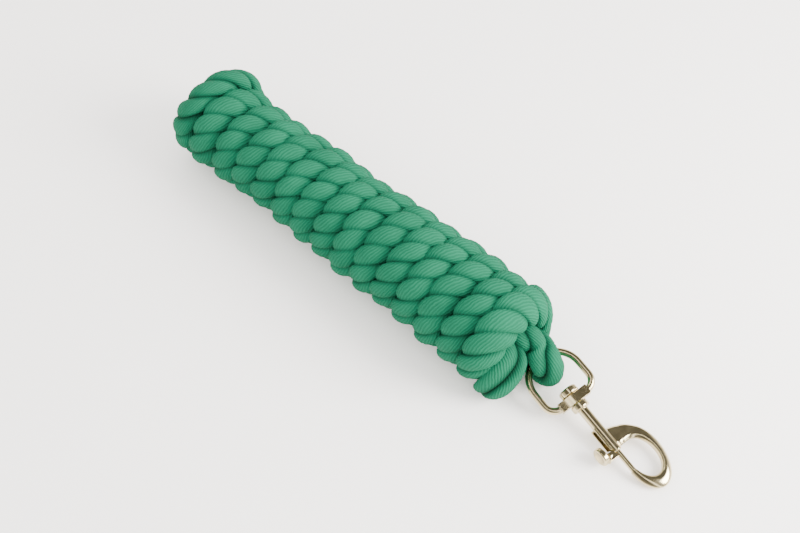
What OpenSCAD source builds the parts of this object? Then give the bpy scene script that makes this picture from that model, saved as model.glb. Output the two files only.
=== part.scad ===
// Lead rope: a three-strand rope wound into a hank, spliced to a swivel bolt snap.
// Millimetres, +Z up. +X runs along the hank towards the snap. The origin is on the
// hank's flat underside, near the middle of the windings.

/* [Rope] */
// Diameter of the laid rope
rope_d = 20; // [16:0.5:22]
// Diameter of the rope where the splice pulls it tight round the swivel eye
eye_rope_d = 16.2; // [13:0.2:16.4]
// Number of turns wound round the core
wraps = 16; // [12:1:18]

/* [Hank] */
// Outer radius of the windings near the far end
hank_r_far = 33.5; // [31:0.5:36]
// Outer radius of the windings near the snap
hank_r_near = 38.5; // [36.5:0.5:41]
// Outer radius of the bulge where the tail is tucked in
hank_r_bulge = 37; // [36:0.5:39]
// Height of the hank's axis above the surface that it lies on
hank_axis_z = 35.5; // [34:0.5:36]
// How far the tucked tail stands out of the far end
tail_out = 6; // [3:0.5:8]

/* [Snap placement] */
// Turn of the snap about the vertical, away from the hank's direction
snap_yaw = -10.6; // [-20:0.2:0]
// Downward slope of the snap, from the raised eye to the hook on the ground
snap_pitch = 8; // [5:0.2:9]
// Roll of the swivel eye about the snap's axis
eye_roll = 12; // [0:1:14]

/* [Swivel eye] */
// Thickness of the eye's wire
wire_d = 5.0; // [4.4:0.1:5.2]
// Outside width of the eye
eye_w = 42.4; // [38:0.2:44]
// Distance from the wire at the bow to the middle of the crossbar
eye_len = 36.9; // [35:0.1:38]
// Width of the crossbar along the snap
bar_w = 6.6; // [5.6:0.1:7]
// Height of the crossbar
bar_h = 5.4; // [5.2:0.1:6]
// Diameter of the boss round the crossbar's hole
hub_d = 9; // [8:0.1:10]

/* [Swivel pin] */
// Diameter of the pin's shank
pin_d = 5.0; // [4:0.1:6]
// Diameter of the pin's head
head_d = 13.4; // [11:0.1:14]
// Thickness of the pin's head with its dome
head_t = 4.6; // [3:0.1:5.4]

/* [Snap body] */
// Outside diameter of the barrel
barrel_d = 7.2; // [6.8:0.1:8]
// Length of the barrel from its flange to its mouth
barrel_len = 35; // [32:0.5:38]
// Diameter of the flange at the swivel end
flange_d = 12.4; // [10:0.1:13]
// Thickness of the flange
flange_t = 5; // [3:0.1:6]
// Gap that the bolt closes, from the barrel's mouth to the nose
throat = 14.8; // [12:0.1:16]
// Half length of the hook's inside oval
inner_a = 14.2; // [12:0.1:15]
// Half height of the hook's inside oval
inner_b = 9.7; // [8:0.1:10.5]
// Half length of the hook's outside oval
outer_a = 23; // [21:0.1:24]
// Half height of the hook's outside oval
outer_b = 14.8; // [13.5:0.1:16.5]
// Thickness of the hook at its bend
hook_t = 5.6; // [4.6:0.1:6.4]

/* [Bolt] */
// Diameter of the bolt
bolt_d = 3.8; // [3:0.1:4]
// Travel of the bolt when it is drawn back
bolt_travel = 13.5; // [12:0.1:14]
// Diameter of the dished thumb disc
thumb_d = 12.4; // [10:0.1:13]
// Thickness of the thumb disc
thumb_t = 4.2; // [3:0.1:5]

/* [Hidden] */

green = [0.16, 0.58, 0.42];
dark_green = [0.08, 0.38, 0.27];
pale_gold = [0.84, 0.79, 0.66];
steel = [0.62, 0.63, 0.64];

fit = 0.3;            // gap between faces that turn against each other
bore_play = 0.1;      // radial play of the bolt and of the swivel pin

// Hank
pitch = rope_d;
wound_len = wraps * pitch;
x_far = -wound_len / 2 - 10;
x_near = wound_len / 2 - 4;
far_dome = 22;
near_dome = 26;
dome_steps = 8;
tail_r = 8.6;
whip_t = 0.8;
whip_len = 12;
pocket_play = 0.4;
pocket_depth = 12;

// Wire centre of the swivel eye's bow, which the rope is spliced round
bow = [157, 10.4, 19.2];

// Swivel eye
eye_half = (eye_w - wire_d) / 2;
corner_r = 8;
hub_x = eye_len;
bar_x0 = eye_len - bar_w / 2;
bar_x1 = eye_len + bar_w / 2;

// Snap body, along the snap's own axis from the bow
flange_x = bar_x1 + fit;
barrel_x0 = flange_x + flange_t;
mouth_x = barrel_x0 + barrel_len;
nose_x = mouth_x + throat;
bore_x0 = barrel_x0 + 8;
bore_r = bolt_d / 2 + bore_play;
pin_socket = 6;
slot_w = 3.4;
stalk_x0 = mouth_x - 2.4;
slot_spare = 2.5;
slot_x0 = stalk_x0 - bolt_travel - slot_spare;
rail_y = 5.4;
rail_half = 3.2;
rail_x1 = mouth_x - 3;
seat_r = bolt_d / 2 + 0.2;
seat_depth = 2.2;

// Hook: both ovals share a running angle, from the nose round the bend to the barrel
oval_x = mouth_x + 12.6;
oval_y = 11.2;
inner_tilt = 4;
outer_shift = [0.2, 0.9];
outer_tilt = -6;
nose_angle = -78;
root_angle = 212;
hook_steps = 28;
section_sides = 12;
web_spread = 5;
web_from = 150;
web_over = 60;
root_in_y = 2.5;
thin_edge = 0.35;
web_t = 4.4;

// Bolt and spring
bolt_tip = nose_x + 1.8;
bolt_back = mouth_x - 8.4;
tip_chamfer = 0.7;
stalk_len = 5.6;
stalk_w = 3.0;
stud_r = 1.2;
thumb_x = mouth_x - 3;
thumb_y = 9.2;
thumb_dish = 14;
thumb_dish_depth = 1.3;
spring_wire = 0.5;
spring_r = bolt_d / 2 - spring_wire / 2 - 0.05;
spring_turns = 9;
spring_sides = 6;
turn_steps = 10;

// Route of the eye: out of the hank, over the bow, and back in below it
leg_in = [[142, 6.4, 39], [148, 8.4, 36.2], [154, 10.2, 32.2]];
leg_out = [[152.5, 12.8, 9.2], [146.5, 13.4, 11.2], [140.5, 13.4, 15.2]];
turn_r = 10.9;
eye_half_w = 10;
turn_from = 90;
turn_step = 20;
tube_sides = 12;
spline_steps = 2;

function unit(v) = v / norm(v);

// Point at t between b and c on a smooth curve through a, b, c and d
function curve_point(a, b, c, d, t) =
    0.5 * (2 * b + (c - a) * t + (2 * a - 5 * b + 4 * c - d) * t * t
           + (3 * b - a - 3 * c + d) * t * t * t);

function smooth_route(p, n) =
    let (m = len(p) - 1)
    concat([for (i = [0 : m - 1], k = [0 : n - 1])
            curve_point(p[max(i - 1, 0)], p[i], p[i + 1], p[min(i + 2, m)], k / n)],
           [p[m]]);

function route_tangents(p) =
    let (m = len(p) - 1)
    [for (i = [0 : m]) unit(p[min(i + 1, m)] - p[max(i - 1, 0)])];

// Faces of a skin over rings of points, closed by a face at each end
function skin_faces(rings, sides) =
    concat([[for (k = [0 : sides - 1]) k]],
           [for (i = [0 : rings - 2], k = [0 : sides - 1], half = [0, 1])
            let (a = i * sides + k, b = a + sides,
                 c = (i + 1) * sides + (k + 1) % sides, d = c - sides)
            half == 0 ? [a, b, c] : [a, c, d]],
           [[for (k = [sides - 1 : -1 : 0]) (rings - 1) * sides + k]]);

// Tube along p, of half width r[0] along the axis nearest to flat, and r[1] across it
module tube(p, r, flat, sides) {
    t = route_tangents(p);
    n = [for (v = t) unit(flat - (flat * v) * v)];
    b = [for (i = [0 : len(p) - 1]) cross(t[i], n[i])];
    points = [for (i = [0 : len(p) - 1], k = [0 : sides - 1])
              p[i] + r[0] * cos(360 * k / sides) * n[i] - r[1] * sin(360 * k / sides) * b[i]];
    polyhedron(points, skin_faces(len(p), sides), convexity = 8);
}

module place_snap() {
    translate(bow) rotate([0, 0, snap_yaw]) rotate([0, snap_pitch, 0]) children();
}

function turned_x(v, a) = [v[0], v[1] * cos(a) - v[2] * sin(a), v[1] * sin(a) + v[2] * cos(a)];
function turned_y(v, a) = [v[0] * cos(a) + v[2] * sin(a), v[1], v[2] * cos(a) - v[0] * sin(a)];
function turned_z(v, a) = [v[0] * cos(a) - v[1] * sin(a), v[0] * sin(a) + v[1] * cos(a), v[2]];

// A direction in the swivel eye's own frame, as it lies in the model's
function eye_way(v) =
    turned_z(turned_y(turned_x(v, eye_roll), snap_pitch), snap_yaw);

// A round part along the snap's axis, from x0 to x1
module rod(x0, x1, r, r2 = -1) {
    translate([x0, 0, 0]) rotate([0, 90, 0])
        cylinder(h = x1 - x0, r1 = r, r2 = r2 < 0 ? r : r2, $fn = 64);
}

// Half outline of the hank, as distance from the axis and place along it
hank_outline = concat(
    [[0, x_far]],
    [for (i = [1 : dome_steps])
        let (a = 90 * i / dome_steps)
        [hank_r_bulge * sin(a), x_far + far_dome * (1 - cos(a))]],
    [[hank_r_far, x_far + 46]],
    [for (i = [0 : dome_steps - 1])
        let (a = 90 * i / dome_steps)
        [hank_r_near * cos(a), x_near - near_dome * (1 - sin(a))]],
    [[0, x_near]]);

module rope_hank() {
    color(green) {
        difference() {
            translate([0, 0, hank_axis_z]) rotate([0, 90, 0])
                rotate_extrude($fn = 96) polygon(hank_outline);
            translate([-wound_len, -wound_len / 2, -wound_len])
                cube([2 * wound_len, wound_len, wound_len]);
            translate([x_far - 1, 0, hank_axis_z])
                rod(0, pocket_depth + 1, tail_r + whip_t + pocket_play);
        }
        translate([x_far - tail_out, 0, hank_axis_z])
            rod(0, tail_out + pocket_depth + 1, tail_r);
    }
}

module tail_whipping() {
    color(dark_green) translate([x_far - tail_out + 2, 0, hank_axis_z]) difference() {
        rod(0, whip_len, tail_r + whip_t);
        rod(-1, whip_len + 1, tail_r);
    }
}

module rope_eye() {
    round_bow = [for (a = [turn_from : -turn_step : -turn_from])
                 bow + turn_r * eye_way([cos(a), 0, sin(a)])];
    flat = eye_way([0, 1, 0]);
    route = concat(smooth_route(leg_in, spline_steps), round_bow,
                   smooth_route(leg_out, spline_steps));
    color(green) tube(route, [eye_half_w, eye_rope_d / 2], flat, tube_sides);
}

module wire_arc(radius, angle) {
    rotate_extrude(angle = angle, $fn = 96) translate([radius, 0]) circle(d = wire_d, $fn = 32);
}

module swivel_eye() {
    arm_x1 = eye_len - corner_r;
    color(pale_gold) place_snap() rotate([eye_roll, 0, 0]) difference() {
        union() {
            translate([eye_half, 0, 0]) rotate([0, 0, 90]) wire_arc(eye_half, 180);
            for (s = [-1, 1]) {
                translate([eye_half, s * eye_half, 0]) rotate([0, 90, 0])
                    cylinder(h = arm_x1 - eye_half, d = wire_d, $fn = 32);
                translate([arm_x1, s * (eye_half - corner_r), 0])
                    rotate([0, 0, s > 0 ? 0 : -90]) wire_arc(corner_r, 90);
            }
            translate([bar_x0, -eye_half + corner_r - 1, -bar_h / 2])
                cube([bar_w, 2 * (eye_half - corner_r + 1), bar_h]);
            rod(bar_x0, bar_x1, hub_d / 2);
        }
        rod(bar_x0 - 1, bar_x1 + 1, pin_d / 2 + bore_play);
    }
}

module swivel_pin() {
    dome = 1.4;
    color(pale_gold) place_snap() {
        rod(bar_x0 - fit - head_t, bar_x0 - fit - head_t + dome, head_d / 2 - 2, head_d / 2);
        rod(bar_x0 - fit - head_t + dome, bar_x0 - fit, head_d / 2);
        rod(bar_x0 - fit - 0.5, flange_x + pin_socket, pin_d / 2);
    }
}

function tilted(v, a) = [v[0] * cos(a) - v[1] * sin(a), v[0] * sin(a) + v[1] * cos(a)];

function inner_at(a) =
    [oval_x, oval_y] + tilted([inner_a * cos(a), inner_b * sin(a)], inner_tilt);

function rise(t) = let (u = min(max(t, 0), 1)) u * u * (3 - 2 * u);

function outer_at(a) =
    let (v = tilted([outer_a * cos(a), outer_b * sin(a)], outer_tilt))
    [oval_x + outer_shift[0] + v[0] - web_spread * rise((a - web_from) / web_over),
     oval_y + outer_shift[1] + v[1]];

function thick_at(a) = hook_t + (web_t - hook_t) * rise((a - 90) / 80);

// One section across the hook, from its outer edge to its inner edge, thinner outside
function hook_section(o, i, t) =
    let (mid = (o + i) / 2, half = (o - i) / 2)
    [for (k = [0 : section_sides - 1])
        let (c = cos(360 * k / section_sides), s = sin(360 * k / section_sides))
        [mid[0] + half[0] * c, mid[1] + half[1] * c, -t / 2 * s * (1 - thin_edge * c)]];

module hook() {
    angles = [for (k = [0 : hook_steps])
              nose_angle + (root_angle - nose_angle) * k / hook_steps];
    rings = concat([for (a = angles) hook_section(outer_at(a), inner_at(a), thick_at(a))],
                   [hook_section([mouth_x - 16.5, root_in_y], [mouth_x - 0.3, root_in_y], web_t)]);
    points = [for (r = rings) each r];
    polyhedron(points, skin_faces(len(rings), section_sides), convexity = 8);
}

module snap_body() {
    lip = 1.2;
    color(pale_gold) place_snap() difference() {
        union() {
            rod(flange_x, flange_x + lip, flange_d / 2 - lip, flange_d / 2);
            rod(flange_x + lip, barrel_x0 - lip, flange_d / 2);
            rod(barrel_x0 - lip, barrel_x0, flange_d / 2, flange_d / 2 - lip);
            rod(flange_x + 1, mouth_x, barrel_d / 2);
            translate([slot_x0 - 1.5, -rail_y, -rail_half])
                cube([rail_x1 - slot_x0 + 1.5, rail_y - 1, 2 * rail_half]);
            hook();
        }
        rod(flange_x - 1, flange_x + pin_socket, pin_d / 2);
        rod(bore_x0, mouth_x + 1, bore_r);
        rod(nose_x - 2, nose_x + seat_depth, seat_r);
        translate([slot_x0, -rail_y - 1, -slot_w / 2]) cube([mouth_x, rail_y + 1, slot_w]);
    }
}

module bolt() {
    color(pale_gold) place_snap() difference() {
        union() {
            rod(bolt_back, bolt_tip - tip_chamfer, bolt_d / 2);
            rod(bolt_tip - tip_chamfer, bolt_tip, bolt_d / 2, bolt_d / 2 - tip_chamfer);
        }
        translate([stalk_x0 + stalk_len / 2, 0, 0]) rotate([90, 0, 0])
            cylinder(h = bolt_d, r = stud_r, $fn = 32);
    }
}

module thumb_knob() {
    stalk_x = stalk_x0 + stalk_len / 2;
    color(pale_gold) place_snap() {
        translate([stalk_x, 0, 0]) rotate([90, 0, 0])
            cylinder(h = thumb_y, r = stud_r, $fn = 32);
        translate([stalk_x0, -thumb_y - 0.5, -stalk_w / 2])
            cube([stalk_len, thumb_y + 0.5 - bolt_d / 2, stalk_w]);
        difference() {
            translate([thumb_x, -thumb_y, 0]) rotate([90, 0, 0])
                cylinder(h = thumb_t, d = thumb_d, $fn = 64);
            translate([thumb_x, -thumb_y - thumb_t + thumb_dish_depth - thumb_dish, 0])
                sphere(r = thumb_dish, $fn = 64);
        }
    }
}

module bolt_spring() {
    x0 = bore_x0 + spring_wire / 2;
    x1 = bolt_back - spring_wire / 2 - 0.05;
    steps = spring_turns * turn_steps;
    path = [for (i = [0 : steps])
            [x0 + (x1 - x0) * i / steps, spring_r * cos(360 * i / turn_steps),
             spring_r * sin(360 * i / turn_steps)]];
    color(steel) place_snap()
        tube(path, [spring_wire / 2, spring_wire / 2], [1, 0, 0], spring_sides);
}

rope_hank();
rope_eye();
tail_whipping();
swivel_eye();
swivel_pin();
snap_body();
bolt();
thumb_knob();
bolt_spring();
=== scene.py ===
import math

import bpy
import numpy as np
from mathutils import Matrix, Vector


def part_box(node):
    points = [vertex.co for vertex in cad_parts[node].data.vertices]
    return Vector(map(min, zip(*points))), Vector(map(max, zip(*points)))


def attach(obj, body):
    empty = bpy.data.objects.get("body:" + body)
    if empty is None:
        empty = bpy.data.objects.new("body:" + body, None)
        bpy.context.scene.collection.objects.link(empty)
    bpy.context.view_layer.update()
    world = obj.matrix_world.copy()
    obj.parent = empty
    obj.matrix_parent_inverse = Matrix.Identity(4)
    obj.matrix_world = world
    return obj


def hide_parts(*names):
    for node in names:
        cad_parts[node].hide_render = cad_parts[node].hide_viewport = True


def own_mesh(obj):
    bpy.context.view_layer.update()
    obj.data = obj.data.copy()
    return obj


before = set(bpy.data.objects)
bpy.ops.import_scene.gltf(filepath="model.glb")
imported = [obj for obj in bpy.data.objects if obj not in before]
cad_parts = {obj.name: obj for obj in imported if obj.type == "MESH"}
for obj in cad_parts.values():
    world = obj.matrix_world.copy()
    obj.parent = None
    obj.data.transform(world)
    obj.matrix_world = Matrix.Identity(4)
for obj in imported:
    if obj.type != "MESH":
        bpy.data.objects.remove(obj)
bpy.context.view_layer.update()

# Sizes and places are in metres, in the row frame.

# ---- Hank, as the design has it ----
ROPE_D = 0.020
AXIS_Z = 0.0355
X_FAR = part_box("rope_hank")[0].x
BOW = Vector((0.157, 0.0104, 0.0192))
SNAP_YAW, SNAP_PITCH, EYE_ROLL = (math.radians(a) for a in (-10.6, 8, 12))
TURN_R = 0.0109
LEG_IN = [(0.142, 0.0064, 0.039), (0.148, 0.0084, 0.0362), (0.154, 0.0102, 0.0322)]
LEG_OUT = [(0.1525, 0.0128, 0.0092), (0.1465, 0.0134, 0.0112), (0.1405, 0.0134, 0.0152)]

# ---- Route through the core and round the hank ----
CORE_SIDE, CORE_RISE = 0.0078, 0.002       # how far a run in the core lies off the axis, aside and in height
CORE_FAR, CORE_NEAR, CORE_STEP = -0.120, 0.125, 0.02
FOLD_X = -0.128
# Outer radius of the windings, as distance along the hank and radius
OUTLINE = [(-0.165, 0.0345), (-0.150, 0.0372), (-0.130, 0.0355), (-0.105, 0.0335), (0.0, 0.0358),
           (0.080, 0.0380), (0.140, 0.0385)]
# The first turn, out of the core and onto the hank: angle round the hank, place along it and radius
FIRST_TURN = [(180, 0.1450, 0.010), (198, 0.1500, 0.021), (213, 0.1495, 0.0315), (226, 0.1480, 0.0335),
              (245, 0.1460, 0.0300), (300, 0.1445, 0.0290), (350, 0.1430, 0.0285)]
# Where the turns lie after it: turns wound and place along the hank
TURN_PLACES = [(0, 0.1415), (1, 0.1240), (2, 0.1030), (9, -0.0390), (12, -0.1015), (14.85, -0.1680)]
WRAP_START = 390          # angle round the hank at which those turns start, in degrees
POINTS_A_TURN = 30
CLOSE_TURNS, CLOSED = 0.35, 0.70           # the last part of a turn closes in, to this share of its radius
# How far the tail pushes out the last turns, how many turns, how soon, and the middle of that side in degrees
TUCK, TUCK_TURNS, TUCK_EASE, TUCK_ANGLE = 0.006, 1.7, 0.3, 25
# Wound by hand, the turns are a little uneven: waves along the hank, each with its size, rate and start
UNEVEN = [(0.0008, 2.3, 0.4), (0.0007, 0.83, 0)]
UNEVEN_OUT = 0.8          # how far the same waves go outwards, as a share
SPAN = 8                  # points on the curve for each point that is given
FINE = 0.0005             # spacing of the samples along the route
# Samples over which the route, the windings' share in it and the lay are eased
EASE_LINE, EASE_WOUND, EASE_LAY = 5, 20, 12

# ---- Rope ----
LAY = 0.060               # length in which a strand goes once round the rope
LUMPS_NEAR, LUMPS_FAR = 12, 11             # lumps in a turn
LUMPS_REACH = 0.06        # length past the middle of the hank in which their number changes
ROW_ANGLE = math.radians(107.6)            # where a strand lies outermost on the turn at the middle
ORBIT = 0.0051            # how far a strand's middle lies from the rope's
STRAND_DEEP = 0.0052      # half of a strand's thickness, towards the rope's middle
STRAND_WIDE = 0.0057      # half of its width, along the rope's outside
STRANDS = 3
TIP, TIP_REACH = 0.6, 0.002                # a strand's size at its very end, and how soon it is full
# Size of the rope where it is spliced, where along it that ends, and the length in which it thins
SPLICED, EYE_END, EYE_END_REACH = 1.12, 0.062, 0.010
# Angle that brings the eye's strands to where they lie on the bow, and where along the rope it dies away
EYE_TURN, EYE_TURN_END, EYE_TURN_REACH = -0.55, 0.20, 0.10
# Size of the rope under the whipping and how close its strands lie there, how far that goes from the cut end,
# and the length in which it comes
BOUND, PINCH, BOUND_LENGTH, BOUND_REACH = 0.88, 0.70, 0.020, 0.006
# How strands wander round the rope, and how they swell: a seed, the length of a wave, and its size
WANDER, SWELL = (10, 0.09, 0.09), (20, 0.05, 0.04)
PRESS = 0.003             # height below which the rope is pressed flat by what it lies on
SIDES = 16
RING_STEP = 0.0023
YARNS = 19                # yarns that cross a strand's outline
YARN_RATE = 540           # yarns crossed in a metre along a strand
# Where it is wound, the rope spreads over the turn on its far side, and stands proud of it there.
SPREAD_FAR, SPREAD_NEAR = 1.22, 1.05
LEAN = 0.34
SLIDE = 0.30              # how much its near side runs ahead of its far side, which flattens the lumps' slant
# The last turn leans in over the near end, and over the far end.
NEAR_LEAN, NEAR_FROM = 0.55, 0.120
FAR_LEAN, FAR_FROM = -0.25, -0.135
LEAN_REACH = 0.020
CORE_R = 0.008            # nearer the axis than this, the rope leans less

# ---- Whipping ----
THREAD_R, WHIPPING_LENGTH, WHIPPING_R, SLEEVE_END_R = 0.0005, 0.012, 0.0088, 0.0080
THREAD_PITCH = 1.9        # distance from one turn of thread to the next, as a multiple of its radius


def smooth_step(t):
    t = np.clip(t, 0, 1)
    return t * t * (3 - 2 * t)


def turned(v):
    """A direction in the swivel eye's own frame, as it lies in the row frame."""
    turn = (Matrix.Rotation(SNAP_YAW, 3, "Z") @ Matrix.Rotation(SNAP_PITCH, 3, "Y")
            @ Matrix.Rotation(EYE_ROLL, 3, "X"))
    return turn @ Vector(v)


# ---- Camera ----
def add_camera():
    azimuth, elevation, away = math.radians(42.75), math.radians(55.35), 0.8148
    target = Vector((0.0288, 0.0109, 0))
    back = Vector((math.sin(azimuth) * math.cos(elevation), -math.cos(azimuth) * math.cos(elevation),
                   math.sin(elevation)))
    data = bpy.data.cameras.new("camera")
    data.lens = 50
    data.sensor_width = 36
    camera = bpy.data.objects.new("camera", data)
    camera.location = target + away * back
    camera.rotation_euler = back.to_track_quat("Z", "Y").to_euler()
    bpy.context.scene.collection.objects.link(camera)
    bpy.context.scene.camera = camera


# ---- The rope's route, from its spliced end round the swivel eye to its tail ----
def on_hank(x, radius, angle):
    return (x, radius * math.cos(angle), AXIS_Z + radius * math.sin(angle))


def outer_radius(x):
    xs, radii = zip(*OUTLINE)
    return float(np.interp(x, xs, radii))


def eye_points():
    """From the hank along the lower leg, over the swivel eye's bow, and back along the upper leg."""
    over = [BOW + TURN_R * turned((math.cos(a), 0, math.sin(a)))
            for a in np.radians(np.arange(-90, 91, 20))]
    return [tuple(p) for p in LEG_OUT[::-1]] + [tuple(p) for p in over] + LEG_IN[::-1]


def core_points():
    """Two runs through the middle of the hank, joined by a fold near its far end."""
    there = [(x, CORE_SIDE, AXIS_Z + CORE_RISE)
             for x in np.arange(CORE_NEAR, CORE_FAR - 0.001, -CORE_STEP)]
    fold = [(FOLD_X - CORE_SIDE * math.sin(a), CORE_SIDE * math.cos(a), AXIS_Z)
            for a in np.radians((25, 60, 90, 120, 155))]
    back = [(x, -CORE_SIDE, AXIS_Z - CORE_RISE)
            for x in np.arange(CORE_FAR, CORE_NEAR + 0.001, CORE_STEP)]
    return there + fold + back


def wrap_points():
    """Out of the core at the near end, round and round to the far end, and in again."""
    points = [on_hank(x, radius, math.radians(angle)) for angle, x, radius in FIRST_TURN]
    turns, places = zip(*TURN_PLACES)
    for turn in np.arange(0, turns[-1], 1 / POINTS_A_TURN):
        x = float(np.interp(turn, turns, places))
        angle = math.radians(WRAP_START) + 2 * math.pi * turn
        closing = smooth_step((turns[-1] - turn) / CLOSE_TURNS)
        # The tail is tucked in behind the last turn, which it pushes out on that side.
        pushed = max(0, math.cos(angle - math.radians(TUCK_ANGLE))) ** 2
        pushed *= TUCK * smooth_step((turn - turns[-1] + TUCK_TURNS) / TUCK_EASE)
        radius = (outer_radius(x) - ROPE_D / 2 + pushed) * (CLOSED + (1 - CLOSED) * closing)
        uneven = sum(size * math.sin(rate * angle + start) for size, rate, start in UNEVEN)
        points.append(on_hank(x + uneven, radius + UNEVEN_OUT * uneven, angle))
    return points


def tail_points():
    """In behind the last turn and out again along the hank's axis."""
    inside = [(-0.1580, 0.010, AXIS_Z - 0.008), (-0.1500, 0.005, AXIS_Z - 0.003), (-0.1490, 0.001, AXIS_Z)]
    return inside + [(-0.1550, 0, AXIS_Z), (-0.1640, 0, AXIS_Z), (X_FAR, 0, AXIS_Z)]


def spline(points):
    """Points on a smooth curve through the points given."""
    p = np.array(points, float)
    p = np.vstack([2 * p[0] - p[1], p, 2 * p[-1] - p[-2]])
    out = []
    for a, b, c, d in zip(p[:-3], p[1:-2], p[2:-1], p[3:]):
        for t in np.arange(SPAN) / SPAN:
            out.append(0.5 * (2 * b + (c - a) * t + (2 * a - 5 * b + 4 * c - d) * t ** 2
                              + (3 * b - a - 3 * c + d) * t ** 3))
    return np.array(out + [p[-2]])


def eased(values, reach):
    """Values smoothed along the route over reach samples each way, with the ends kept."""
    kernel = np.exp(-0.5 * (np.arange(-3 * reach, 3 * reach + 1) / reach) ** 2)
    kernel /= kernel.sum()
    columns = values.reshape(len(values), -1)
    padded = np.vstack([2 * columns[0] - columns[3 * reach:0:-1], columns,
                        2 * columns[-1] - columns[-2:-3 * reach - 2:-1]])
    done = np.stack([np.convolve(padded[:, k], kernel, "valid") for k in range(columns.shape[1])], 1)
    return done.reshape(values.shape)


def route():
    """The route's samples, FINE apart, and how far each belongs to the windings, from 0 to 1."""
    parts = [eye_points(), core_points(), wrap_points(), tail_points()]
    points = spline([q for part in parts for q in part])
    before = SPAN * (len(parts[0]) + len(parts[1]))
    wound = np.zeros(len(points))
    wound[before:before + SPAN * len(parts[2])] = 1
    along = np.concatenate([[0], np.cumsum(np.linalg.norm(np.diff(points, axis=0), axis=1))])
    at = np.arange(0, along[-1], FINE)
    line = np.stack([np.interp(at, along, points[:, k]) for k in range(3)], 1)
    return eased(line, EASE_LINE), eased(np.interp(at, along, wound), EASE_WOUND)


def frames(line):
    """Tangents, and two directions across the line that don't twist along it."""
    tangent = np.gradient(line, axis=0)
    tangent /= np.linalg.norm(tangent, axis=1)[:, None]
    across = np.zeros_like(line)
    first = np.cross(tangent[0], (0, 0, 1.0))
    across[0] = first / np.linalg.norm(first)
    for i in range(1, len(line)):
        v = across[i - 1] - (across[i - 1] @ tangent[i]) * tangent[i]
        across[i] = v / np.linalg.norm(v)
    return tangent, across, np.cross(tangent, across)


# ---- The rope's mesh ----
def off_axis(points):
    """How each point lies from the hank's axis, square to it."""
    off = points - np.array((0, 0, AXIS_Z))
    off[:, 0] = 0
    return off


def lay_angles(line, wound, across, second):
    """How far the strands have turned round the rope at each sample, and how fast they turn there. On the
    windings the lumps form rows along the hank, about twelve to a turn near the snap and eleven near the
    far end."""
    radial = off_axis(line)
    roll = np.unwrap(np.arctan2((radial * second).sum(1), (radial * across).sum(1)))
    angle = np.unwrap(np.arctan2(radial[:, 2], radial[:, 1]))
    lumps = LUMPS_NEAR + (LUMPS_FAR - LUMPS_NEAR) * smooth_step(-line[:, 0] / LUMPS_REACH)
    free = np.full(len(line), 2 * math.pi / LAY) * FINE
    held = np.gradient(roll) + lumps / STRANDS * np.gradient(angle)
    rate = eased(np.where(wound > 0.5, held, free), EASE_LAY)
    at = np.arange(len(line)) * FINE
    turned_by = np.cumsum(rate) + EYE_TURN * smooth_step((EYE_TURN_END - at) / EYE_TURN_REACH)
    # The rows start from the wound sample nearest to ROW_ANGLE at the middle of the hank.
    aside = np.abs((angle - ROW_ANGLE + math.pi) % (2 * math.pi) - math.pi)
    middle = np.argmin(np.abs(line[:, 0]) + np.where(wound > 0.99, 0, 1) + 0.01 * aside)
    return turned_by - turned_by[middle] + roll[middle], rate / FINE


def waver(at, k, seed, wave, size):
    """A smooth wandering value along strand k, the same each time."""
    rng = np.random.default_rng(seed + k)
    total = np.zeros(len(at))
    for _ in range(4):
        total += np.sin(2 * math.pi * at / (wave * rng.uniform(0.6, 1.7)) + rng.uniform(0, 2 * math.pi))
    return size * total / 2


def laid_over(ring, centre, held):
    """The ring as it lies on the windings, spread and leaning over its neighbour."""
    aside = ring[:, 0] - centre[:, 0]
    outward = off_axis(centre)
    outward /= np.maximum(np.linalg.norm(outward, axis=1), CORE_R)[:, None]
    spread = np.where(aside < 0, SPREAD_FAR, SPREAD_NEAR)
    lean = LEAN + (NEAR_LEAN - LEAN) * smooth_step((centre[:, 0] - NEAR_FROM) / LEAN_REACH)
    lean = lean + (FAR_LEAN - LEAN) * smooth_step((FAR_FROM - centre[:, 0]) / LEAN_REACH)
    ahead = np.stack([outward[:, 0], -outward[:, 2], outward[:, 1]], 1)
    moved = ring - (held * lean * aside)[:, None] * outward + (held * SLIDE * aside)[:, None] * ahead
    moved[:, 0] += held * (spread - 1) * aside
    return moved


def strand_sizes(k, stations, total):
    """Strand k at each station: half its thickness, half its width, how far its middle lies from the
    rope's, and the rope's own size."""
    swell = 1 + waver(stations, k, *SWELL)
    ends = np.sqrt(np.clip(np.minimum(stations, total - stations) / TIP_REACH, 0, 1))
    ends = TIP + (1 - TIP) * ends
    # The whipping binds the rope tight at its cut end, and the spliced end round the eye is thicker.
    tail = smooth_step((stations - total + BOUND_LENGTH) / BOUND_REACH)
    orbit = ORBIT * (1 - (1 - PINCH) * tail)
    size = 1 - (1 - BOUND) * tail
    size = size + (SPLICED - 1) * smooth_step((EYE_END - stations) / EYE_END_REACH)
    return STRAND_DEEP * swell * ends, STRAND_WIDE * swell * ends, orbit, size


def strand_faces(base, run):
    """Faces of a strand whose points start at base, and the yarn coordinates of their corners. Run is how
    far along the strand each ring lies."""
    faces, yarn = [], []
    for i in range(len(run) - 1):
        p, q = base + i * SIDES, base + (i + 1) * SIDES
        w0, w1 = YARN_RATE * run[i], YARN_RATE * run[i + 1]
        for m in range(SIDES):
            n = (m + 1) % SIDES
            u0, u1 = YARNS * m / SIDES, YARNS * (m + 1) / SIDES
            faces.append((p + m, p + n, q + n, q + m))
            yarn += [(u0 + w0, run[i]), (u1 + w0, run[i])]
            yarn += [(u1 + w1, run[i + 1]), (u0 + w1, run[i + 1])]
    last = base + (len(run) - 1) * SIDES
    faces += [tuple(range(base, base + SIDES))[::-1], tuple(range(last, last + SIDES))]
    yarn += [(0, 0)] * (2 * SIDES)
    return faces, yarn


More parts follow.
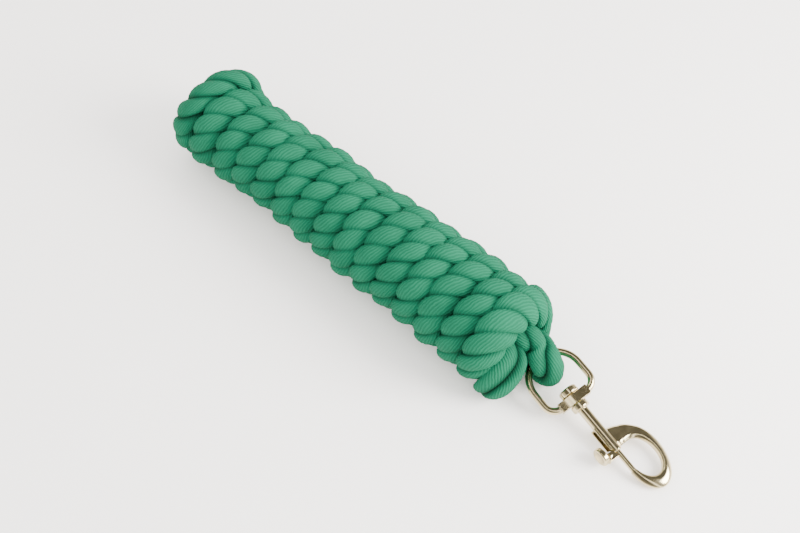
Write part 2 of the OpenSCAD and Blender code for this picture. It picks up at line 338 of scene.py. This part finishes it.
def between(values, where):
    """Values along the route, read between its samples."""
    j = where.astype(int)
    part = (where - j)[:, None]
    return values[j] * (1 - part) + values[j + 1] * part


def rope_mesh(line, wound):
    """Three strands laid round the route."""
    _, across, second = frames(line)
    turned_by, rate = lay_angles(line, wound, across, second)
    at = np.arange(len(line)) * FINE
    stations = np.arange(0, at[-1], RING_STEP)
    theta = 2 * math.pi * np.arange(SIDES) / SIDES
    verts, faces, yarn, crown = [], [], [], []
    for k in range(STRANDS):
        phase = np.interp(stations, at, turned_by) + 2 * math.pi * k / STRANDS
        phase = phase + waver(stations, k, *WANDER)
        lean = np.arctan(ORBIT * np.interp(stations, at, rate))
        deep, wide, orbit, size = strand_sizes(k, stations, at[-1])
        run = np.concatenate([[0], np.cumsum(RING_STEP / np.cos((lean[1:] + lean[:-1]) / 2))])
        strand = strand_faces(len(verts), run)
        faces += strand[0]
        yarn += strand[1]
        for i, s in enumerate(stations):
            # The ring is square to the strand, which leans across the rope.
            u = size[i] * (orbit[i] + deep[i] * np.cos(theta))
            v = size[i] * wide[i] * np.sin(theta) * math.cos(lean[i])
            s_at = s - wide[i] * np.sin(theta) * math.sin(lean[i])
            where = np.clip(s_at / FINE, 0, len(line) - 1.001)
            c, n = math.cos(phase[i]), math.sin(phase[i])
            a, b = u * c - v * n, u * n + v * c
            centre = between(line, where)
            ring = centre + a[:, None] * between(across, where) + b[:, None] * between(second, where)
            verts.extend(laid_over(ring, centre, wound[where.astype(int)]))
            # The cut ends get none of the painted shade that darkens the creases between the strands.
            cut = i in (0, len(stations) - 1)
            crown.extend(np.ones(SIDES) if cut else np.cos(theta))
    return named_mesh(pressed(np.array(verts)), faces, yarn, crown)


def pressed(verts):
    """The rope's points, pressed flat where it lies on something."""
    low = verts[:, 2] < PRESS
    verts[low, 2] = PRESS * np.exp((verts[low, 2] - PRESS) / PRESS)
    return verts


def named_mesh(verts, faces, yarn, crown):
    """The rope's mesh, with its yarns as UVs and each point's height on its strand as an attribute, which the
    material uses to paint shade in the creases between the strands.
    """
    mesh = bpy.data.meshes.new("lead_rope")
    mesh.from_pydata(verts.tolist(), [], faces)
    layer = mesh.uv_layers.new(name="yarn")
    layer.data.foreach_set("uv", np.array(yarn, np.float32).ravel())
    attribute = mesh.attributes.new("crown", "FLOAT", "POINT")
    attribute.data.foreach_set("value", np.array(crown, np.float32))
    mesh.shade_smooth()
    return mesh


def add_rope():
    line, wound = route()
    rope = bpy.data.objects.new("lead_rope", rope_mesh(line, wound))
    bpy.context.scene.collection.objects.link(rope)
    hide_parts("rope_hank", "rope_eye")
    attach(rope, "hank")
    return rope


# ---- Mesh helpers for the snap, whose pieces are drawn in millimetres along the snap's own axis ----
SNAP_AT = (Matrix.Translation(BOW) @ Matrix.Rotation(SNAP_YAW, 4, "Z") @ Matrix.Rotation(SNAP_PITCH, 4, "Y")
           @ Matrix.Scale(0.001, 4))
EYE_AT = SNAP_AT @ Matrix.Rotation(EYE_ROLL, 4, "X")


def shell(rings):
    """A closed surface over rings of points, which all have as many points."""
    sides = len(rings[0])
    verts = [tuple(p) for ring in rings for p in ring]
    faces = [tuple(range(sides))[::-1]]
    for i in range(len(rings) - 1):
        low, high = i * sides, (i + 1) * sides
        for k in range(sides):
            n = (k + 1) % sides
            faces.append((low + k, low + n, high + n, high + k))
    faces.append(tuple(high + k for k in range(sides)))
    return verts, faces


def lathe(profile, sides=96):
    """A round part about the x axis, through (x, radius) points."""
    around = 2 * math.pi * np.arange(sides) / sides
    return shell([[(x, r * math.cos(a), r * math.sin(a)) for a in around] for x, r in profile])


def turned_part(part, turn, place):
    verts, faces = part
    return [tuple(turn @ Vector(v) + Vector(place)) for v in verts], faces


def block(low, high):
    (x0, y0, z0), (x1, y1, z1) = low, high
    return shell([[(x, y0, z0), (x, y1, z0), (x, y1, z1), (x, y0, z1)] for x in (x0, x1)])


def sweep(path, radius, sides):
    """A round wire along a path."""
    path = np.array(path, float)
    _, across, second = frames(path)
    around = 2 * math.pi * np.arange(sides) / sides
    return shell([[p + radius * (math.cos(a) * n - math.sin(a) * b) for a in around]
                  for p, n, b in zip(path, across, second)])


def new_object(name, parts):
    """One object of several shells."""
    verts, faces = [], []
    for part_verts, part_faces in parts:
        faces += [tuple(len(verts) + k for k in face) for face in part_faces]
        verts += part_verts
    mesh = bpy.data.meshes.new(name)
    mesh.from_pydata(verts, [], faces)
    thing = bpy.data.objects.new(name, mesh)
    bpy.context.scene.collection.objects.link(thing)
    return thing


def baked(thing):
    """Turns the object's modifiers into mesh, and drops the empty material slots that they leave."""
    graph = bpy.context.evaluated_depsgraph_get()
    mesh = bpy.data.meshes.new_from_object(thing.evaluated_get(graph))
    mesh.materials.clear()
    mesh.polygons.foreach_set("material_index", np.zeros(len(mesh.polygons), np.int32))
    thing.modifiers.clear()
    thing.data = mesh


def cast(name, parts, cuts, at, voxel, soften):
    """One smooth casting: parts melted together, edges softened, and cuts taken out."""
    thing = new_object(name, parts)
    melt = thing.modifiers.new("melt", "REMESH")
    melt.mode = "VOXEL"
    melt.voxel_size = voxel
    melt.adaptivity = 0
    even = thing.modifiers.new("even", "SMOOTH")
    even.factor = 0.5
    even.iterations = soften
    baked(thing)
    for cut in cuts:
        tool = new_object("cutter", [cut])
        less = thing.modifiers.new("less", "BOOLEAN")
        less.operation = "DIFFERENCE"
        less.solver = "MANIFOLD"
        less.object = tool
        baked(thing)
        bpy.data.objects.remove(tool)
    return finished(thing, at)


def finished(thing, at):
    """The object put in its place, smooth but for its real edges."""
    thing.data.transform(at)
    thing.data.update()
    thing.data.shade_smooth()
    thing.data.set_sharp_from_angle(angle=math.radians(50))
    return thing


def belongs(thing, node, body):
    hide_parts(node)
    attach(thing, body)


# ---- Swivel bolt snap, in millimetres ----
WIRE_R = 2.5
EYE_LEN, EYE_HALF, CORNER_R = 36.9, 18.7, 8.0
BAR_X0, BAR_X1, BAR_HALF_H = 33.4, 40.2, 2.7
HUB_SWELL, HUB_REACH = 0.8, 4.6            # how far the crossbar swells at the pin, and how wide
PIN_R, HEAD_R, HEAD_T, HEAD_GAP = 2.5, 6.7, 4.6, 0.3
HEAD_ROUND, DENT_R, DENT = 1.5, 4.4, 0.7   # the pin head's rounded rim and the dent in its middle
FLANGE_X, FLANGE_R, FLANGE_ROUND = 40.5, 6.2, 1.3
BARREL_X0, MOUTH_X, BARREL_R = 45.5, 80.5, 3.6
NOSE_X = 95.3
SLOT_X0, SLOT_HALF, RAIL_X0, RAIL_X1 = 62.1, 1.7, 60.6, 77.5
BOLT_R, BORE_R, BORE_X0 = 1.9, 2.0, 53.5
BOLT_BACK, BOLT_TIP, TIP_ROUND = 72.1, 97.1, 0.8
STALK_X0, STALK_X1, STALK_HALF = 78.1, 83.7, 1.5
THUMB_X, THUMB_Y, THUMB_R, THUMB_T = 77.5, 9.2, 6.2, 4.2
THUMB_ROUND, DISH_R, DISH = 1.2, 5.0, 1.5  # the knob's rounded rim and the dish in its face
SPRING_R, SPRING_WIRE_R, SPRING_TURNS, SPRING_GAP = 1.6, 0.25, 9, 0.05


def bow_path():
    """The eye's wire, from one end of its crossbar round the bow to the other."""
    arm_x = EYE_LEN - CORNER_R
    corner_y = EYE_HALF - CORNER_R
    quarter = np.radians(np.arange(0, 91, 6))
    corner = [(arm_x + CORNER_R * math.sin(a), corner_y + CORNER_R * math.cos(a)) for a in quarter]
    half = [(EYE_LEN, corner_y - 1.5)] + corner[::-1]
    half += [(x, EYE_HALF) for x in np.linspace(arm_x, EYE_HALF, 7)[1:]]
    half += [(EYE_HALF - EYE_HALF * math.sin(a), EYE_HALF * math.cos(a)) for a in quarter[1:]]
    whole = half + [(x, -y) for x, y in half[-2::-1]]
    return [(x, y, 0) for x, y in whole]


def add_swivel_eye():
    """A bent wire, and a flat crossbar between its corners that swells round the pin's hole."""
    bar = []
    for y in np.linspace(-1, 1, 33) * (EYE_HALF - CORNER_R + 1):
        high = BAR_HALF_H + HUB_SWELL * math.exp(-(y / HUB_REACH) ** 2)
        bar.append([(BAR_X0, y, -high), (BAR_X1, y, -high), (BAR_X1, y, high), (BAR_X0, y, high)])
    hole = lathe([(BAR_X0 - 1, PIN_R + 0.1), (BAR_X1 + 1, PIN_R + 0.1)])
    eye = cast("swivel_eye_wire", [sweep(bow_path(), WIRE_R, 48), shell(bar)], [hole], EYE_AT,
               voxel=0.25, soften=6)
    belongs(eye, "swivel_eye", "ring")
    return eye


def add_swivel_pin():
    """A pin whose riveted head has a rounded rim and a shallow dent in its middle."""
    back = BAR_X0 - HEAD_GAP
    front = back - HEAD_T
    face = [(front + DENT * math.cos(0.5 * math.pi * r / DENT_R) ** 2, r) for r in (0.05, 1.1, 2.2, 3.3, 4.4)]
    rim = [(front + HEAD_ROUND * (1 - math.sin(a)), HEAD_R - HEAD_ROUND * (1 - math.cos(a)))
           for a in np.radians(np.arange(90, -1, -10))]
    foot = [(back - 0.6, HEAD_R), (back - 0.2, HEAD_R - 0.2), (back, HEAD_R - 0.6), (back, PIN_R)]
    pin = new_object("swivel_pin_head", [lathe(face + rim + foot + [(FLANGE_X + 6, PIN_R)])])
    finished(pin, SNAP_AT)
    belongs(pin, "swivel_pin", "snap")
    return pin


# Both outlines of the hook are ovals that share an angle running from the nose round to the barrel. An oval
# is half its length, half its width and its tilt in degrees.
INNER_OVAL, INNER_AT = (14.2, 9.7, 4), (MOUTH_X + 12.6, 11.2)
OUTER_OVAL, OUTER_AT = (23.0, 14.8, -6), (MOUTH_X + 12.8, 12.1)
NOSE_ANGLE, ROOT_ANGLE = -78, 212
HOOK_T, WEB_T = 5.6, 4.4
THINNER = 0.35            # how much thinner the round hook is outside
# The web's bevels along its inner and outer edges: their widths, and the share of the thickness left there
BEVEL, EDGE = 2.6, 1.4
BEVEL_LOW, EDGE_LOW = 0.25, 0.35
# How far the web's edges reach back along the barrel: at its start, at its root, and its inner edge
WEB_BACK, WEB_ROOT_BACK, INNER_BACK = 4.5, 3.5, 2
HOOK_RINGS, HOOK_SIDES = 181, 120
# Where the web meets the barrel
WEB_ROOT = (MOUTH_X - 16.5, 2.5), (MOUTH_X - 2.6, 2.5)


def oval_point(oval, middle, degrees):
    half_length, half_width, tilt = oval
    x = half_length * math.cos(math.radians(degrees))
    y = half_width * math.sin(math.radians(degrees))
    c, s = math.cos(math.radians(tilt)), math.sin(math.radians(tilt))
    return middle[0] + x * c - y * s, middle[1] + x * s + y * c


def hook_edges(degrees):
    """The hook's outer and inner edge. Near the barrel the web's edges reach back along it."""
    outer = oval_point(OUTER_OVAL, OUTER_AT, degrees)
    inner = oval_point(INNER_OVAL, INNER_AT, degrees)
    web = WEB_BACK * smooth_step((degrees - 150) / 60)
    web += WEB_ROOT_BACK * max(0, (degrees - 190) / (ROOT_ANGLE - 190)) ** 1.6
    root = INNER_BACK * smooth_step((degrees - 188) / (ROOT_ANGLE - 188))
    return (outer[0] - float(web), outer[1]), (inner[0] - float(root), inner[1])


def hook_section(outer, inner, thick, flat):
    """One section across the hook. Where flat is 0 it is round and thinner outside. Where flat is 1 it is a
    blade with a wide bevel along its inner edge."""
    wide = math.dist(outer, inner)
    ring = []
    for a in 2 * math.pi * np.arange(HOOK_SIDES) / HOOK_SIDES:
        c, s = math.cos(a), math.sin(a)
        along = 0.5 + 0.5 * c
        bevel = min(1, BEVEL_LOW + (1 - BEVEL_LOW) * along * wide / BEVEL,
                    EDGE_LOW + (1 - EDGE_LOW) * (1 - along) * wide / EDGE)
        high = (1 - flat) * abs(s) * (1 - THINNER * c) + flat * bevel
        ring.append((inner[0] + (outer[0] - inner[0]) * along, inner[1] + (outer[1] - inner[1]) * along,
                     -thick / 2 * math.copysign(high, s)))
    return ring


def hook_part():
    rings = []
    for degrees in np.linspace(NOSE_ANGLE, ROOT_ANGLE, HOOK_RINGS):
        outer, inner = hook_edges(degrees)
        web = float(smooth_step((degrees - 90) / 80))
        rings.append(hook_section(outer, inner, HOOK_T + (WEB_T - HOOK_T) * web, web))
    rings.append(hook_section(*WEB_ROOT, WEB_T, 1))
    return shell(rings)


def add_snap_body():
    """Flange, barrel, the rails beside its slot, and the hook, cast in one."""
    rim = [(FLANGE_ROUND * (1 - math.cos(a)), FLANGE_R - FLANGE_ROUND * (1 - math.sin(a)))
           for a in np.radians((0, 30, 60, 90))]
    flange = [(FLANGE_X + x, r) for x, r in rim] + [(BARREL_X0 - x, r) for x, r in rim[::-1]]
    barrel = [(FLANGE_X + 1, BARREL_R), (MOUTH_X - 0.4, BARREL_R), (MOUTH_X, BARREL_R - 0.4)]
    upper = block((RAIL_X0, -4.2, -2.2), (RAIL_X1, -1, 2.3))
    lower = block((RAIL_X0, -5.2, -3.0), (RAIL_X1, -1, -1.5))
    pin_hole = lathe([(FLANGE_X - 1, PIN_R), (FLANGE_X + 6, PIN_R)])
    bore = lathe([(BORE_X0, BORE_R), (MOUTH_X + 1, BORE_R)])
    seat = lathe([(NOSE_X - 2, BOLT_R + 0.2), (NOSE_X + 2.2, BOLT_R + 0.2)])
    slot = block((SLOT_X0, -8, -SLOT_HALF), (MOUTH_X + 8, 0, SLOT_HALF))
    body = cast("snap_casting", [lathe(flange), lathe(barrel), upper, lower, hook_part()],
                [pin_hole, bore, seat, slot], SNAP_AT, voxel=0.25, soften=12)
    belongs(body, "snap_body", "snap")
    return body


def add_bolt():
    tip = [(BOLT_TIP - TIP_ROUND * (1 - math.sin(a)), BOLT_R - TIP_ROUND * (1 - math.cos(a)))
           for a in np.radians(np.arange(0, 91, 15))]
    bolt = new_object("bolt_rod", [lathe([(BOLT_BACK, BOLT_R)] + tip)])
    finished(bolt, SNAP_AT)
    belongs(bolt, "bolt", "bolt")
    return bolt


def add_thumb_knob():
    """A disc dished for the thumb, on a stalk that stands in the barrel's slot."""
    front = THUMB_Y + THUMB_T
    edge = np.radians(np.arange(0, 91, 15))
    profile = [(THUMB_Y, THUMB_R - THUMB_ROUND)]
    profile += [(THUMB_Y + THUMB_ROUND * (1 - math.cos(a)), THUMB_R - THUMB_ROUND * (1 - math.sin(a)))
                for a in edge]
    profile += [(front - THUMB_ROUND * (1 - math.sin(a)), THUMB_R - THUMB_ROUND * (1 - math.cos(a)))
                for a in edge]
    profile += [(front - DISH * math.cos(0.5 * math.pi * r / DISH_R), r) for r in (4.2, 3.2, 2.2, 1.2, 0.05)]
    sideways = Matrix.Rotation(math.radians(-90), 3, "Z")
    disc = turned_part(lathe(profile), sideways, (THUMB_X, 0, 0))
    neck = turned_part(lathe([(5.0, 1.6), (7.0, 2.0), (8.4, 3.0), (THUMB_Y + 0.4, 4.4)]), sideways,
                       (STALK_X0 + 2.2, 0, 0))
    stalk = block((STALK_X0, -THUMB_Y - 0.5, -STALK_HALF), (STALK_X1, -BOLT_R, STALK_HALF))
    knob = cast("thumb_disc", [disc, neck, stalk], [], SNAP_AT, voxel=0.22, soften=4)
    belongs(knob, "thumb_knob", "bolt")
    return knob


def add_spring():
    """The coil behind the bolt, which the bolt shortens as it is drawn back."""
    x0, x1 = BORE_X0 + SPRING_WIRE_R, BOLT_BACK - SPRING_WIRE_R - SPRING_GAP
    steps = 24
    angles = 2 * math.pi * np.arange(SPRING_TURNS * steps + 1) / steps
    path = [(x0 + (x1 - x0) * a / angles[-1], SPRING_R * math.cos(a), SPRING_R * math.sin(a)) for a in angles]
    spring = new_object("bolt_spring_coil", [sweep(path, SPRING_WIRE_R, 10)])
    finished(spring, SNAP_AT)
    belongs(spring, "bolt_spring", "snap")
    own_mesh(spring)
    return spring


# ---- Whipping on the rope's cut end ----
def add_whipping():
    """Thread wound round the rope's end, drawn as one long wire on a thin sleeve."""
    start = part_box("tail_whipping")[0].x + THREAD_R
    length = WHIPPING_LENGTH - 2 * THREAD_R
    turns = int(length / (THREAD_PITCH * THREAD_R))
    angles = np.radians(np.arange(0, 360 * turns + 1, 12))
    path = [(start + length * a / angles[-1], WHIPPING_R * math.cos(a), AXIS_Z + WHIPPING_R * math.sin(a))
            for a in angles]
    verts, faces = lathe([(start - THREAD_R / 2, SLEEVE_END_R), (start, WHIPPING_R),
                          (start + length, WHIPPING_R), (start + length + THREAD_R / 2, SLEEVE_END_R)])
    sleeve = [(x, y, z + AXIS_Z) for x, y, z in verts], faces
    whipping = new_object("tail_thread", [sweep(path, THREAD_R, 8), sleeve])
    finished(whipping, Matrix.Identity(4))
    belongs(whipping, "tail_whipping", "hank")
    return whipping


# ---- Node helpers. Those that make one node return its output ----
def feed(tree, socket, value):
    """Gives an input a constant or another node's output."""
    if isinstance(value, bpy.types.NodeSocket):
        tree.links.new(value, socket)
    else:
        socket.default_value = value


def maths(tree, operation, *values):
    node = tree.nodes.new("ShaderNodeMath")
    node.operation = operation
    for socket, value in zip(node.inputs, values):
        feed(tree, socket, value)
    return node.outputs[0]


def noise(tree, place, scale, detail):
    node = tree.nodes.new("ShaderNodeTexNoise")
    node.inputs["Scale"].default_value = scale
    node.inputs["Detail"].default_value = detail
    tree.links.new(place, node.inputs["Vector"])
    return node.outputs["Fac"]


def map_range(tree, value, start, end, low, high):
    """Start becomes low and end becomes high."""
    node = tree.nodes.new("ShaderNodeMapRange")
    node.inputs["From Min"].default_value = start
    node.inputs["From Max"].default_value = end
    node.inputs["To Min"].default_value = low
    node.inputs["To Max"].default_value = high
    tree.links.new(value, node.inputs["Value"])
    return node.outputs["Result"]


def colour_ramp(tree, value, first, last, between_them=()):
    """Colours along a ramp, each given with its place."""
    node = tree.nodes.new("ShaderNodeValToRGB")
    stops = node.color_ramp.elements
    for stop, (place, colour) in zip(stops, (first, last)):
        stop.position = place
        stop.color = (*colour, 1)
    for place, colour in between_them:
        stops.new(place).color = (*colour, 1)
    tree.links.new(value, node.inputs["Fac"])
    return node.outputs["Color"]


def mix_colours(tree, share, first, second):
    """First where share is 0 and second where it is 1."""
    node = tree.nodes.new("ShaderNodeMix")
    node.data_type = "RGBA"
    # Its colour inputs are 6 and 7, and its colour output is 2.
    for index, value in ((0, share), (6, first), (7, second)):
        feed(tree, node.inputs[index], value)
    return node.outputs[2]


def add_bump(tree, shader, height, strength, distance):
    node = tree.nodes.new("ShaderNodeBump")
    node.inputs["Strength"].default_value = strength
    node.inputs["Distance"].default_value = distance
    tree.links.new(height, node.inputs["Height"])
    tree.links.new(node.outputs["Normal"], shader.inputs["Normal"])


def object_place(tree):
    return tree.nodes.new("ShaderNodeTexCoord").outputs["Object"]


def new_material(name):
    """A new material, its node tree and its shader."""
    material = bpy.data.materials.new(name)
    material.use_nodes = True
    return material, material.node_tree, material.node_tree.nodes["Principled BSDF"]


# ---- Materials ----
def yarn_ridges(tree, place):
    """Waves across the yarns, from -1 to 1, that wander a little."""
    uv = tree.nodes.new("ShaderNodeUVMap")
    uv.uv_map = "yarn"
    split = tree.nodes.new("ShaderNodeSeparateXYZ")
    tree.links.new(uv.outputs["UV"], split.inputs["Vector"])
    shifted = maths(tree, "MULTIPLY_ADD", noise(tree, place, 160, 3), 1.1, split.outputs["X"])
    return maths(tree, "SINE", maths(tree, "MULTIPLY", shifted, 2 * math.pi))


def rope_material():
    material, tree, shader = new_material("rope_cotton")
    place = object_place(tree)
    shader.inputs["Roughness"].default_value = 0.78
    shader.inputs["Specular IOR Level"].default_value = 0.04
    ridge = yarn_ridges(tree, place)
    height = maths(tree, "MULTIPLY_ADD", noise(tree, place, 2600, 2), 0.5, ridge)
    add_bump(tree, shader, height, 0.5, 0.0004)

    # Painted light and shade: the yarns' ridges are painted lighter and the grooves between them darker. The
    # dye is also a little blotchy.
    blotch = maths(tree, "MULTIPLY_ADD", noise(tree, place, 45, 2), 0.5, -0.25)
    level = maths(tree, "ADD", map_range(tree, ridge, -1, 1, 0.34, 0.66), blotch)
    dye_and_yarn_shade = colour_ramp(tree, level, (0, (0.005, 0.052, 0.026)), (1, (0.010, 0.152, 0.076)))

    # Painted shade: deep in the creases between the strands the colour is darkened towards a near-black
    # green.
    crown = tree.nodes.new("ShaderNodeAttribute")
    crown.attribute_name = "crown"
    free_of_painted_shade = map_range(tree, crown.outputs["Fac"], -0.3, 0.7, 0, 1)
    colour = mix_colours(tree, free_of_painted_shade, (0, 0.014, 0.006, 1), dye_and_yarn_shade)
    tree.links.new(colour, shader.inputs["Base Color"])
    return material


def metal_material():
    material, tree, shader = new_material("pale_gold_plate")
    shader.inputs["Metallic"].default_value = 1
    cloud = noise(tree, object_place(tree), 260, 4)
    colour = colour_ramp(tree, cloud, (0, (0.52, 0.43, 0.24)), (1, (0.68, 0.58, 0.36)))
    tree.links.new(colour, shader.inputs["Base Color"])
    tree.links.new(map_range(tree, cloud, 0, 1, 0.11, 0.24), shader.inputs["Roughness"])
    add_bump(tree, shader, cloud, 0.06, 0.0002)
    return material


def steel_material():
    material, tree, shader = new_material("drawn_steel")
    shader.inputs["Metallic"].default_value = 1
    shader.inputs["Base Color"].default_value = (0.42, 0.42, 0.43, 1)
    drawn = noise(tree, object_place(tree), 900, 2)
    tree.links.new(map_range(tree, drawn, 0, 1, 0.25, 0.45), shader.inputs["Roughness"])
    return material


def thread_material():
    material, tree, shader = new_material("whipping_thread")
    shader.inputs["Roughness"].default_value = 0.7
    shader.inputs["Specular IOR Level"].default_value = 0.2
    fibre = noise(tree, object_place(tree), 1500, 2)
    colour = colour_ramp(tree, fibre, (0, (0.001, 0.050, 0.022)), (1, (0.004, 0.120, 0.055)))
    tree.links.new(colour, shader.inputs["Base Color"])
    add_bump(tree, shader, fibre, 0.4, 0.0001)
    return material


# ---- Floor and light ----
def add_floor():
    bpy.ops.mesh.primitive_plane_add(size=6, location=(0, 0, 0))
    floor = bpy.context.object
    floor.name = "floor"
    material, _, shader = new_material("pale_floor")
    shader.inputs["Base Color"].default_value = (0.98, 0.94, 0.90, 1)
    shader.inputs["Roughness"].default_value = 0.7
    floor.data.materials.append(material)


def add_key_light():
    """A soft round light, low beyond the snap and aimed at the hank."""
    data = bpy.data.lights.new("key", "AREA")
    data.shape = "DISK"
    data.size = 0.8
    data.energy = 50
    light = bpy.data.objects.new("key", data)
    light.location = (1.06, 0.52, 0.68)
    light.rotation_euler = Vector(light.location).to_track_quat("Z", "Y").to_euler()
    bpy.context.scene.collection.objects.link(light)


def add_world():
    """Even white light. Mirror reflections see a studio instead: bright low walls and a dark ceiling, with
    patches in both, and a long lamp overhead."""
    world = bpy.data.worlds.new("studio")
    bpy.context.scene.world = world
    world.use_nodes = True
    tree = world.node_tree
    way = tree.nodes.new("ShaderNodeTexCoord").outputs["Generated"]
    split = tree.nodes.new("ShaderNodeSeparateXYZ")
    tree.links.new(way, split.inputs["Vector"])
    height = maths(tree, "MULTIPLY_ADD", noise(tree, way, 2.2, 1), 0.5, split.outputs["Z"])
    walls = [(place, (level, level * 0.98, level * 0.93))
             for place, level in ((0.40, 0.48), (0.54, 0.42), (0.68, 0.10))]
    room = colour_ramp(tree, height, (0.28, (0.20, 0.19, 0.17)), (1, (0.050, 0.048, 0.042)), walls)

    # The lamp lies in line with the snap, in a plane square to this direction.
    beside = tree.nodes.new("ShaderNodeVectorMath")
    beside.operation = "DOT_PRODUCT"
    beside.inputs[1].default_value = (0.178, 0.954, 0.240)
    tree.links.new(way, beside.inputs[0])
    off = maths(tree, "ABSOLUTE", beside.outputs["Value"])
    lamp = mix_colours(tree, map_range(tree, off, 0.09, 0.04, 0, 1), room, (1.5, 1.48, 1.42, 1))

    ray = tree.nodes.new("ShaderNodeLightPath")
    seen = mix_colours(tree, ray.outputs["Is Glossy Ray"], (1, 1, 1, 1), lamp)
    background = tree.nodes["Background"]
    background.inputs["Strength"].default_value = 3.1
    tree.links.new(seen, background.inputs["Color"])


add_camera()
add_whipping().data.materials.append(thread_material())
add_rope().data.materials.append(rope_material())
metal = metal_material()
for add_piece in (add_swivel_eye, add_swivel_pin, add_snap_body, add_bolt, add_thumb_knob):
    add_piece().data.materials.append(metal)
add_spring().data.materials.append(steel_material())
add_floor()
add_key_light()
add_world()
